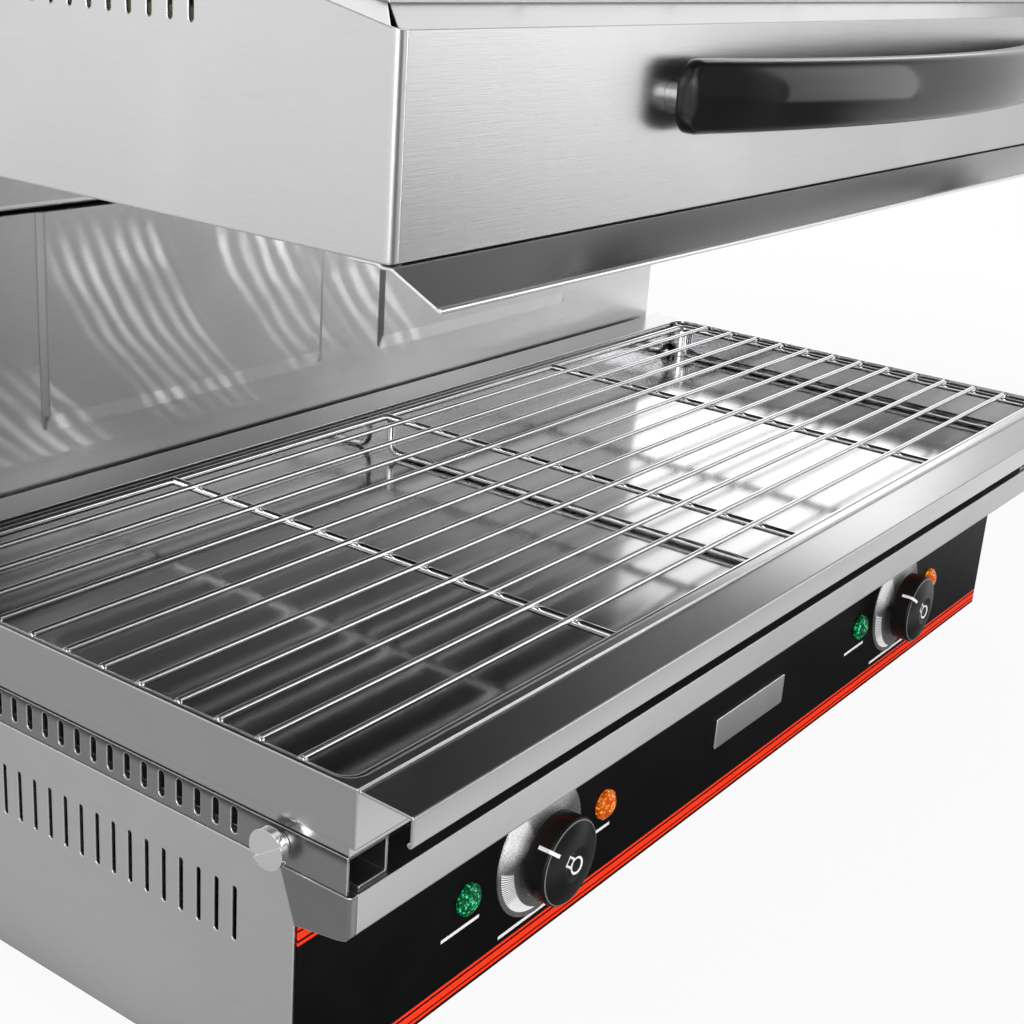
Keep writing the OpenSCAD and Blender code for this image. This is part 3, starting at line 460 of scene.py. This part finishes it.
def lensMaterial(name, deep, paintedGlint, glow):
    material, shader, coords = startMaterial(name)
    cells = place(coords, "ShaderNodeTexVoronoi", {
        "Vector": coords, "Scale": 1.0 / facets["size"], "Randomness": facets["uneven"]}).outputs
    # the shining facets get a painted glint, which glows with the lens
    share = maths("MULTIPLY", ramp(cells["Color"], *facets["shine"]),
                  ramp(cells["Distance"], *facets["core"]))
    color = blendColor(share, deep, paintedGlint)
    feed(shader, {
        "Base Color": color, "Emission Color": color, "Emission Strength": glow,
        "Roughness": 0.12, "Specular IOR Level": 0.2, "Coat Weight": 0.15, "Coat Roughness": 0.03,
        "Normal": bumped(cells["Distance"], 0.5, 0.0003)})
    return material


# round scale plate: radii in metres, angles in degrees clockwise from the top, the ticks, and
# where the painted highlight of the spun metal lies
scale = {"bandOut": 0.0337, "bandIn": 0.0232, "from": 272.0, "fromBlur": 0.4, "to": 182.0,
         "toBlur": 1.0, "narrowsFrom": 259.0, "narrowing": 1.6, "blur": 0.0002, "lean": 1160.0,
         "pitch": 2.7, "tick": (0.2, 0.1), "tickEnd": 226.0, "tickFade": 12.0,
         "highlightWedge": (266.0, 300.0, 0.12, 1.0), "highlightWedgeEnd": (322.0, 334.0, 1.0, 0.35),
         "highlightCrownAt": 0.3, "highlightCrown": (0.6, 1.0, 0.0, 0.42), "stipple": (0.35, 0.68, -0.3, 0.3),
         "stippleSize": 1100.0, "white": (0.92, 0.92, 0.92), "black": (0.01, 0.01, 0.01)}


def dialMaterial():
    material, shader, coords = startMaterial("dialSilver")
    across, up = rowPlace(coords)
    span = radius(across, up)
    turn = maths("ARCTAN2", across, up)
    angle = maths("MULTIPLY", maths("MODULO", maths("ADD", turn, 2 * math.pi), 2 * math.pi),
                  180 / math.pi)
    # the ticks lean: the angle is counted along them
    leaning = maths("ADD", angle, maths(
        "MULTIPLY", maths("SUBTRACT", scale["bandOut"], span), scale["lean"]))
    share = ramp(angle, scale["narrowsFrom"], scale["to"], smooth=False)
    inner = maths("MULTIPLY_ADD", maths("POWER", share, scale["narrowing"]),
                  scale["bandOut"] - scale["bandIn"], scale["bandIn"])
    ring = maths("MULTIPLY",
                 ramp(span, scale["bandOut"] + scale["blur"], scale["bandOut"] - scale["blur"]),
                 ramp(maths("SUBTRACT", span, inner), -scale["blur"], scale["blur"]))
    arc = maths("MULTIPLY", ramp(leaning, scale["from"] + scale["fromBlur"],
                                 scale["from"] - scale["fromBlur"]),
                ramp(angle, scale["to"], scale["to"] + scale["toBlur"]))
    band = maths("MULTIPLY", ring, arc)
    step = maths("FRACT", maths("DIVIDE", leaning, scale["pitch"]))
    ticked = maths("MULTIPLY",
                   ramp(maths("ABSOLUTE", maths("SUBTRACT", step, 0.5)), *scale["tick"]),
                   ramp(leaning, scale["tickEnd"], scale["tickEnd"] + scale["tickFade"]))
    # painted highlight of spun metal: a bright wedge at the upper left and a paler crown just right
    # of the top, broken up by a fine stipple
    grain = place(coords, "ShaderNodeTexNoise", {
        "Vector": coords, "Scale": scale["stippleSize"], "Detail": 2.0}).outputs["Fac"]
    highlightWedge = maths("MULTIPLY", ramp(angle, *scale["highlightWedge"]), ramp(angle, *scale["highlightWedgeEnd"]))
    highlightCrown = ramp(maths("COSINE", maths("SUBTRACT", turn, scale["highlightCrownAt"])), *scale["highlightCrown"])
    stipple = maths("ADD", ramp(grain, *scale["stipple"]), 1.0)
    plain = maths("MULTIPLY_ADD", maths("MAXIMUM", highlightWedge, highlightCrown), stipple, 0.0, clamp=True)
    silver = place(coords, "ShaderNodeCombineColor", {
        channel: plain for channel in ("Red", "Green", "Blue")}).outputs["Color"]
    marked = blendColor(ticked, scale["white"], scale["black"])
    feed(shader, {
        "Base Color": blendColor(band, silver, marked), "Roughness": 0.4,
        "Specular IOR Level": 0.2, "Normal": bumped(grain, 0.3, 0.0001)})
    return material


fasciaFilm = filmMaterial()
dialSilver = dialMaterial()
greenLens = lensMaterial("greenLens", **lenses["green"])
amberLens = lensMaterial("amberLens", **lenses["amber"])
print("finishes ready")


finishOf = {
    "bottom_plate": plainSteel, "left_side_panel": baseSide, "right_side_panel": baseSide,
    "front_rail": satinFront, "control_panel": plainSteel, "fascia": fasciaFilm,
    "badge_plate": badgeSilver, "dial_plates": dialSilver, "thermostats": zincPlate,
    "green_lamps": greenLens, "amber_lamps": amberLens, "base_top_cover": plainSteel,
    "base_rear_panel": plainSteel, "feet": footRubber, "terminal_block": ceramicWhite,
    "cable_gland": glandNylon, "left_channel": channelSteel, "right_channel": channelSteel,
    "screw_tabs": plainSteel, "left_cheek": satinSide, "right_cheek": satinSide,
    "lower_column_panel": satinBack, "upper_column_panel": satinBack,
    "column_back_cover": plainSteel, "column_cap": satinTop, "guide_rods": brightSteel,
    "rod_blocks": zincPlate, "head_front_panel": satinFront, "head_left_side": satinSide,
    "head_right_side": satinSide, "head_top_cover": satinTop, "cover_screws": brightSteel,
    "head_rear_panel": satinBack, "reflector": reflectorSteel, "insulation": mineralWool,
    "visor": visorSteel, "handle": glossBlack, "handle_bosses": bossSteel,
    "left_element": heaterSheath, "right_element": heaterSheath, "element_hangers": brightSteel,
    "lift_arms": zincPlate, "carriage": zincPlate, "bushes": bronzeBush,
    "terminal_covers": satinBack, "left_knob": knobBlack, "left_spindle": zincPlate,
    "left_pointer": whitePrint, "right_knob": knobBlack, "right_spindle": zincPlate,
    "right_pointer": whitePrint, "left_thumb_screw": brightSteel,
    "right_thumb_screw": brightSteel, "pan": panSteel, "rack_frame": brightSteel,
    "rack_wires": wireSteel, "rack_legs": brightSteel,
}
for name, material in finishOf.items():
    nodes[name].data.materials.clear()
    nodes[name].data.materials.append(material)


def addPiece(name, shape, material):
    mesh = bpy.data.meshes.new(name)
    shape.to_mesh(mesh)
    shape.free()
    mesh.materials.append(material)
    piece = bpy.data.objects.new(name, mesh)
    scene.collection.objects.link(piece)
    return piece


# weld beads at the ends of the rack's thin wires, in metres, and how lumpy they are
beads = {"end": 0.3945, "height": 0.1948, "first": -0.17165, "pitch": 0.02415, "count": 12,
         "size": (0.0021, 0.0025, 0.0018), "lumps": 0.16, "waves": (2.6, 3.1, 2), "seed": 5}


def makeBeads():
    shape = bmesh.new()
    chance = random.Random(beads["seed"])
    a, b, c = beads["waves"]
    for side in (-1, 1):
        for i in range(beads["count"]):
            middle = (side * beads["end"], beads["first"] + i * beads["pitch"], beads["height"])
            turn = chance.uniform(0.0, 6.0)
            for vertex in bmesh.ops.create_icosphere(shape, subdivisions=3, radius=1.0)["verts"]:
                x, y, z = vertex.co
                swell = 1 + beads["lumps"] * math.sin(a * x + turn) * math.cos(b * y - c * z + turn)
                vertex.co = [m + v * s * swell for m, v, s in zip(middle, (x, y, z), beads["size"])]
    bmesh.ops.recalc_face_normals(shape, faces=shape.faces)
    for face in shape.faces:
        face.smooth = True
    piece = addPiece("rack_weld_beads", shape, beadSteel)
    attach(piece, "rack")


makeBeads()
print("weld beads ready")


# coil springs under the lift carriage, in metres; they shorten as the head comes down
springs = {"across": 0.33, "back": 0.189, "low": 0.1584, "high": 0.4546, "coil": 0.0115,
           "wire": 0.0016, "turns": 22, "closed": 1, "closedRise": 0.0034, "steps": 24,
           "around": 10}


def sortShape(shape):
    # spin gives edges and faces in an order that changes from run to run
    shape.verts.index_update()
    size = len(shape.verts)
    for items in (shape.edges, shape.faces):
        items.sort(key=lambda item: min(corner.index for corner in item.verts) * size
                   + max(corner.index for corner in item.verts))


def makeSpring(name, side):
    # closed turns at both ends and open ones between; the wire's section leans with its run
    x, y, coil = side * springs["across"], springs["back"], springs["coil"]
    closed, turns, closedRise = springs["closed"], springs["turns"], springs["closedRise"]
    free = springs["high"] - springs["low"] - 2 * springs["wire"]
    openRise = (free - 2 * closed * closedRise) / turns
    z, lean = springs["low"] + springs["wire"], 0.0
    shape = bmesh.new()
    bmesh.ops.create_circle(shape, segments=springs["around"], radius=springs["wire"],
                            matrix=Matrix.Translation((x + coil, y, z))
                            @ Matrix.Rotation(math.pi / 2, 4, "X")
                            @ Matrix.Rotation(-math.pi / 2, 4, "Z"))
    ring = shape.verts[:] + shape.edges[:]
    for count, rise in ((closed, closedRise), (turns, openRise), (closed, closedRise)):
        slope = math.atan(rise / (2 * math.pi * coil))
        section = [item for item in ring if isinstance(item, bmesh.types.BMVert)]
        bmesh.ops.rotate(shape, verts=section, cent=(x + coil, y, z),
                         matrix=Matrix.Rotation(slope - lean, 3, "X"))
        ring = bmesh.ops.spin(
            shape, geom=ring, cent=(x, y, z), axis=(0.0, 0.0, 1.0),
            dvec=(0.0, 0.0, rise / springs["steps"]), angle=2 * math.pi * count,
            steps=springs["steps"] * count, use_merge=False)["geom_last"]
        z += rise * count
        lean = slope
    bmesh.ops.holes_fill(shape, edges=shape.edges, sides=springs["around"])
    bmesh.ops.recalc_face_normals(shape, faces=shape.faces)
    for face in shape.faces:
        face.smooth = len(face.verts) == 4  # the cut ends stay flat
    sortShape(shape)
    piece = addPiece(name + "_coils", shape, zincPlate)
    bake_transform(piece)
    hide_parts(name)


makeSpring("left_spring", -1)
makeSpring("right_spring", 1)
print("springs ready")


# floor, light, camera

# how bright the floor and the sky look in metal by zone, where the floor's zones start and end in
# metres, the way the open dark front lies, and how near to it the dark begins
studio = {"floorSize": 14.0, "floorTone": 0.36, "floorWhite": 0.94, "floorLeft": 0.5,
          "floorFront": 1.15, "floorStrip": 0.15, "floorFar": 0.2, "strip": (0.25, 0.85),
          "ahead": (-0.46, -0.3, 0.04), "left": (-0.38, -0.44), "far": (0.9, 2.0),
          "farAhead": (0.6, 1.1), "ambient": 0.75, "ceiling": 0.08, "height": (0.19, 0.66),
          "front": 0.3, "frontWay": (0.174, -0.985), "frontTurn": (0.74, 0.9)}
# radiance, width, height, place and aim of each soft light
softLights = {
    "leftPanel": (0.3, 3.4, 2.0, (-1.75, 0.7, 1.02), (0.0, 0.7, 1.02)),
    "frontRightPanel": (1.25, 0.96, 1.4, (1.84, -2.0, 0.74), (-0.1, -0.27, 0.45)),
    "backRightPanel": (1.1, 2.4, 1.9, (2.3, 1.65, 1.45), (0.0, 0.0, 0.3)),
    "cornerPanel": (4.8, 1.2, 1.7, (-1.87, -1.83, 1.05), (-0.3, -0.2, 0.35)),
    "topPanel": (1.7, 2.2, 2.2, (-1.2, -0.6, 2.9), (0.0, 0.0, 0.3)),
    "frontFill": (2.2, 1.5, 1.0, (-0.5, -2.3, 0.55), (0.0, -0.2, 0.1)),
}


def mixTo(factor, first, second):
    # first where the factor is nothing, second where it is one
    return maths("MULTIPLY_ADD", factor, maths("SUBTRACT", second, first), first)


def makeFloor():
    shape = bmesh.new()
    bmesh.ops.create_grid(shape, x_segments=1, y_segments=1, size=studio["floorSize"] / 2)
    material, shader, coords = startMaterial("studioFloor")
    feed(shader, {"Base Color": (*[studio["floorTone"]] * 3, 1.0), "Roughness": 0.9})
    ray = place(coords, "ShaderNodeLightPath").outputs
    spot = axis(coords)
    span = radius(spot["X"], spot["Y"])
    # metal sees a dim strip under the front, and an open dark room in front of the floor's edge
    strip = ramp(spot["X"], *studio["strip"], studio["floorStrip"], 1.0)
    front = mixTo(between(spot["Y"], *studio["ahead"]), strip, studio["floorFront"])
    near = mixTo(ramp(spot["X"], *studio["left"]), front, studio["floorLeft"])
    wayX, wayY = studio["frontWay"]
    toward = maths("DIVIDE", maths("MULTIPLY_ADD", spot["X"], wayX, maths(
        "MULTIPLY", spot["Y"], wayY)), span)
    edge = ramp(toward, *studio["frontTurn"], 1.0, studio["floorFar"])
    far = maths("MAXIMUM", ramp(span, *studio["far"]), maths(
        "MULTIPLY", ramp(span, *studio["farAhead"]), ramp(toward, *studio["frontTurn"])))
    mirrored = mixTo(far, near, edge)
    glow = place(coords, "ShaderNodeEmission", {"Strength": maths(
        "MULTIPLY_ADD", ray["Is Glossy Ray"], maths("SUBTRACT", mirrored, 1.0), 1.0)})
    # the camera sees a white that rises to the backdrop's
    seen = maths("MULTIPLY", ray["Is Camera Ray"],
                 ramp(span, *studio["far"], studio["floorWhite"], 1.0))
    through = maths("MULTIPLY", ray["Is Transmission Ray"], studio["floorWhite"])
    share = maths("MAXIMUM", maths("MAXIMUM", seen, ray["Is Glossy Ray"]), through)
    surface = place(coords, "ShaderNodeMixShader", {
        "Fac": share, 1: shader.outputs["BSDF"], 2: glow.outputs["Emission"]})
    feed(material.node_tree.nodes["Material Output"], {"Surface": surface.outputs["Shader"]})
    floor = addPiece("studioFloor", shape, material)


def makeSky():
    world = bpy.data.worlds.new("studioSky")
    scene.world = world
    world.use_nodes = True
    background = world.node_tree.nodes["Background"]
    way = axis(place(background, "ShaderNodeTexCoord").outputs["Generated"])
    ray = place(background, "ShaderNodeLightPath").outputs
    # metal sees a pale backdrop that falls off to a dim ceiling and towards the open front
    wayX, wayY = studio["frontWay"]
    front = maths("MULTIPLY_ADD", way["X"], wayX, maths("MULTIPLY", way["Y"], wayY))
    shiny = maths("MULTIPLY", ramp(way["Z"], *studio["height"], 1.0, studio["ceiling"]),
                  ramp(front, *studio["frontTurn"], 1.0, studio["front"]))
    tone = place(background, "ShaderNodeMix", {
        "Factor": ray["Is Glossy Ray"], "A": studio["ambient"], "B": shiny}).outputs["Result"]
    plain = maths("MAXIMUM", ray["Is Camera Ray"], ray["Is Transmission Ray"])
    feed(background, {"Strength": maths("MAXIMUM", tone, plain), "Color": (1.0, 1.0, 1.0, 1.0)})


def makeLamp(name, radiance, width, height, at, target):
    data = bpy.data.lights.new(name, "AREA")
    data.shape = "RECTANGLE"
    data.size = width
    data.size_y = height
    data.energy = radiance * math.pi * width * height
    lamp = bpy.data.objects.new(name, data)
    scene.collection.objects.link(lamp)
    lamp.location = at
    lamp.rotation_euler = (Vector(target) - Vector(at)).to_track_quat("-Z", "Y").to_euler()
    return lamp


# low lamp whose own pattern lays fans of streaks on the column, as light off the rack's wires
# does: its place and size, the column's face, how the streaks lean, bend and wander, and for
# each fan left, right, low, high, pitch and strength; lengths in metres
glints = {"at": (1.36, -1.45, 0.14), "power": 17.0, "angle": 130, "size": 0.0015, "face": 0.15,
          "top": 0.34, "lean": 0.3, "bend": 3.6, "wander": 28.0, "drift": 0.9, "band": (-0.5, 1.0),
          "sideBlur": 0.009, "endBlur": 0.018, "uneven": (0.3, 0.62, 0.25, 1.0),
          "fans": ((-0.262, -0.18, 0.212, 0.33, 0.0128, 1.0),
                   (-0.14, -0.075, 0.236, 0.335, 0.0158, 0.7),
                   (-0.062, 0.0, 0.228, 0.3, 0.019, 0.9),
                   (-0.4, -0.305, 0.19, 0.255, 0.0145, 2.4))}


def makeGlints():
    data = bpy.data.lights.new("wireGlints", "SPOT")
    data.energy = glints["power"]
    data.spot_size = math.radians(glints["angle"])
    data.spot_blend = 0.0
    data.shadow_soft_size = glints["size"]
    lamp = bpy.data.objects.new("wireGlints", data)
    scene.collection.objects.link(lamp)
    lamp.location = glints["at"]
    # the lamp looks along Y, so its own axes give the place it lights on the column's face
    lamp.rotation_euler = (math.pi / 2, 0.0, 0.0)
    data.use_nodes = True
    emission = data.node_tree.nodes["Emission"]
    way = axis(place(emission, "ShaderNodeTexCoord").outputs["Normal"])
    lampX, lampY, lampZ = glints["at"]
    away = lampY - glints["face"]
    across = maths("MULTIPLY_ADD", maths("DIVIDE", way["X"], way["Z"]), away, lampX)
    height = maths("MULTIPLY_ADD", maths("DIVIDE", way["Y"], way["Z"]), away, lampZ)
    drop = maths("SUBTRACT", glints["top"], height)
    curve = maths("MULTIPLY", drop, maths("MULTIPLY_ADD", drop, glints["bend"], glints["lean"]))
    start = maths("SUBTRACT", across, curve)
    spot = place(emission, "ShaderNodeCombineXYZ", {"X": start, "Z": height}).outputs["Vector"]
    wander = place(emission, "ShaderNodeTexNoise", {
        "Vector": spot, "Scale": glints["wander"]}).outputs["Fac"]
    total = None
    for left, right, low, high, pitch, strength in glints["fans"]:
        shifted = maths("MULTIPLY_ADD", wander, pitch * glints["drift"], start)
        wave = maths("COSINE", maths("MULTIPLY", shifted, 2 * math.pi / pitch))
        band = maths("MULTIPLY", ramp(wave, *glints["band"]), strength)
        window = maths("MULTIPLY", between(start, left, right, glints["sideBlur"]),
                       between(height, low, high, glints["endBlur"]))
        fan = maths("MULTIPLY", band, window)
        total = fan if total is None else maths("ADD", total, fan)
    feed(emission, {"Strength": maths("MULTIPLY", total, ramp(wander, *glints["uneven"]))})


# place of the camera in metres, its turns in radians, and its lens in millimetres
view = {"at": (-0.8274, -0.5667, 0.5206), "turn": -0.963, "tilt": -0.352, "roll": -0.072,
        "lens": 57.31, "sensor": 36.0, "clip": 0.02}


def makeCamera():
    data = bpy.data.cameras.new("camera")
    data.lens = view["lens"]
    data.sensor_width = view["sensor"]
    data.clip_start = view["clip"]
    camera = bpy.data.objects.new("camera", data)
    scene.collection.objects.link(camera)
    camera.matrix_world = (Matrix.Translation(view["at"])
                           @ Matrix.Rotation(view["turn"], 4, "Z")
                           @ Matrix.Rotation(view["tilt"], 4, "X")
                           @ Matrix.Rotation(view["roll"], 4, "Y")
                           @ Matrix.Rotation(math.pi / 2, 4, "X"))
    scene.camera = camera


makeFloor()
makeSky()
for name, values in softLights.items():
    lamp = makeLamp(name, *values)
    # the fill lifts prints and plastics and stays out of the metal
    lamp.visible_glossy = name != "frontFill"
makeGlints()
makeCamera()
scene.view_settings.view_transform = "Standard"
print("studio ready")

owned = [*bpy.data.materials, *bpy.data.worlds, *bpy.data.lights]
for tree in [*bpy.data.node_groups, *(item.node_tree for item in owned if item.node_tree)]:
    arrange(tree)
